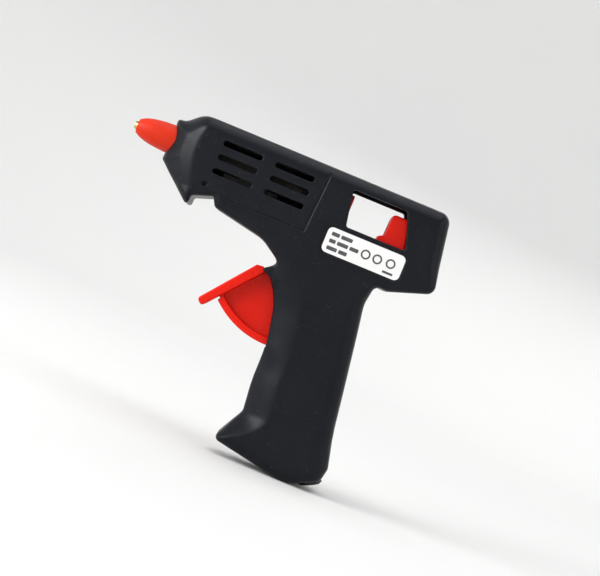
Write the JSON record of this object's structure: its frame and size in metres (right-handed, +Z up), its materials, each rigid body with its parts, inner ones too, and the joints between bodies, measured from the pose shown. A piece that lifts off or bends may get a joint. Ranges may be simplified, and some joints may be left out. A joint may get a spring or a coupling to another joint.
{
  "type": "hot glue gun",
  "caption": "Small pistol-shaped hot glue gun: split housing with vents and a see-through window, pointed nozzle, sector trigger and a coupled stick feed.",
  "frame": {"origin": "middle of the bounding box's lowest face, under the handle", "axes": "+Z up with the handle down, +X towards the rear, -X along the barrel to the nozzle, Y across the gun with -Y its left side"},
  "size_m": [0.1318, 0.026, 0.1194],
  "materials": {
    "housing_plastic": "fine-grained satin black, slightly blue",
    "cover_silicone": "matt orange-red",
    "trigger_plastic": "satin bright red",
    "carriage_plastic": "satin red",
    "brass": "turned",
    "steel": "zinc plated",
    "aluminium": "die cast",
    "ceramic": "fired ceramic",
    "film": "amber polyimide",
    "label_vinyl": "printed white vinyl",
    "rubber": "moulded",
    "lead_white": "glass-sleeved silicone"
  },
  "bodies": {
    "housing": {"left_shell": "housing_plastic", "right_shell": "housing_plastic", "nozzle_cover": "cover_silicone", "nozzle_tip": "brass", "nozzle_valve_ball": "steel", "nozzle_valve_spring": "steel", "melting_chamber": "aluminium", "electrode_upper": "brass", "ptc_heater": "ceramic", "electrode_lower": "brass", "insulation_film": "film", "heater_clip": "steel", "inlet_sleeve": "carriage_plastic", "sleeve_clamp": "steel", "trigger_pin": "steel", "return_spring": "steel", "rating_label": "label_vinyl", "housing_screw_1": "steel", "housing_screw_2": "steel", "housing_screw_3": "steel", "housing_screw_4": "steel", "housing_screw_5": "steel", "cord_gland": "rubber", "cord_clamp": "housing_plastic", "clamp_screw_1": "steel", "clamp_screw_2": "steel", "lead_live": "lead_white", "splice_live": "steel", "lead_neutral": "lead_white", "splice_neutral": "steel"},
    "trigger": {"trigger": "trigger_plastic", "trigger_arm_pin": "steel"},
    "carriage": {"feed_carriage": "carriage_plastic", "jaw_pin": "steel", "drive_link": "steel", "link_pin": "steel"},
    "jaw": {"grip_jaw": "steel"}
  },
  "joints": [
    {"name": "trigger_pivot", "type": "hinge", "parent": "housing", "child": "trigger", "pos_m": [0.0135, 0, 0.0803], "axis": [0, -1, 0], "range_deg": [0, 28], "stiffness_Nm_per_rad": 0.1, "springref_deg": -17.19},
    {"name": "carriage_slide", "type": "slide", "parent": "housing", "child": "carriage", "axis": [-1, 0, 0], "range_m": [0, 0.0087], "deforming": ["return_spring"]},
    {"name": "jaw_pivot", "type": "hinge", "parent": "carriage", "child": "jaw", "pos_m": [0.0456, 0, 0.0964], "axis": [0, 1, 0], "range_deg": [0, 11.5]}
  ],
  "couplings": [
    {"joint": "carriage_slide", "follows": "trigger_pivot", "m_per_rad": 0.0178},
    {"joint": "jaw_pivot", "follows": "trigger_pivot", "ratio": 0.4}
  ]
}
